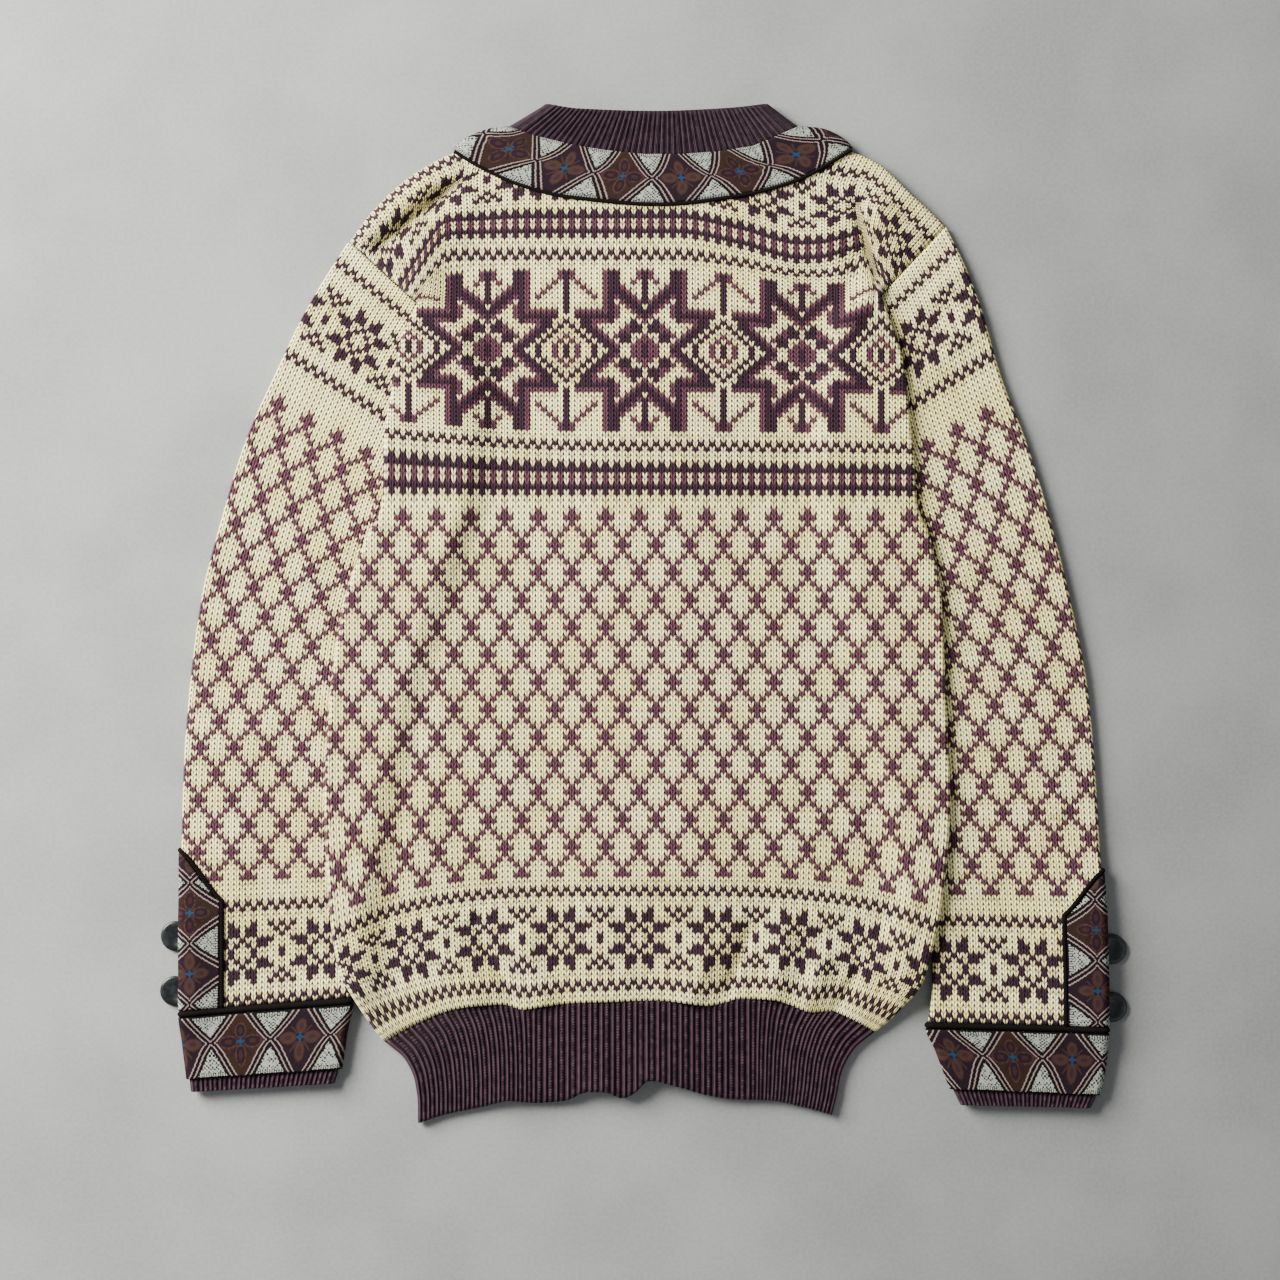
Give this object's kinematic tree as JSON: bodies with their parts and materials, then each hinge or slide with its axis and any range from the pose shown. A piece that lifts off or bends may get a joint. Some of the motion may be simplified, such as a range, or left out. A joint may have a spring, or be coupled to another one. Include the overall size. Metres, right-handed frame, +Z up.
{
  "type": "patterned knitted cardigan",
  "caption": "Patterned wool cardigan laid flat, seen from the back, with ribbed collar, cuffs and hem, woven neck and cuff trims and glossy cuff buttons.",
  "frame": {"origin": "centre of the garment's plan, at the height of the surface that it lies on", "axes": "+X across the back towards its right sleeve as seen, +Y up the back towards the collar, +Z up out of the surface that it lies on"},
  "size_m": [0.6686, 0.7035, 0.0149],
  "materials": {
    "knit": "stranded two-colour wool knit in cream and dark plum, matt",
    "ribbing": "ribbed plum wool knit, matt",
    "woven": "woven patterned ribbon in brown, plum, grey and black, slight sheen",
    "braid": "narrow black wool braid, matt",
    "button": "glossy black"
  },
  "bodies": {
    "root": {"back": "knit", "front_left": "knit", "front_right": "knit", "sleeve_left": "knit", "sleeve_right": "knit", "hem_rib_back": "ribbing", "hem_rib_front_left": "ribbing", "hem_rib_front_right": "ribbing", "collar_rib": "ribbing", "neck_trim": "woven", "neck_piping": "braid", "cuff_trim_left": "woven", "cuff_braid_left": "braid", "cuff_rib_left": "ribbing", "placket_trim_left": "woven", "placket_braid_left": "braid", "cuff_button_left_1": "button", "cuff_button_left_2": "button", "cuff_trim_right": "woven", "cuff_braid_right": "braid", "cuff_rib_right": "ribbing", "placket_trim_right": "woven", "placket_braid_right": "braid", "cuff_button_right_1": "button", "cuff_button_right_2": "button", "front_button_1": "button", "front_button_2": "button", "front_button_3": "button", "front_button_4": "button", "front_button_5": "button"}
  },
  "joints": []
}
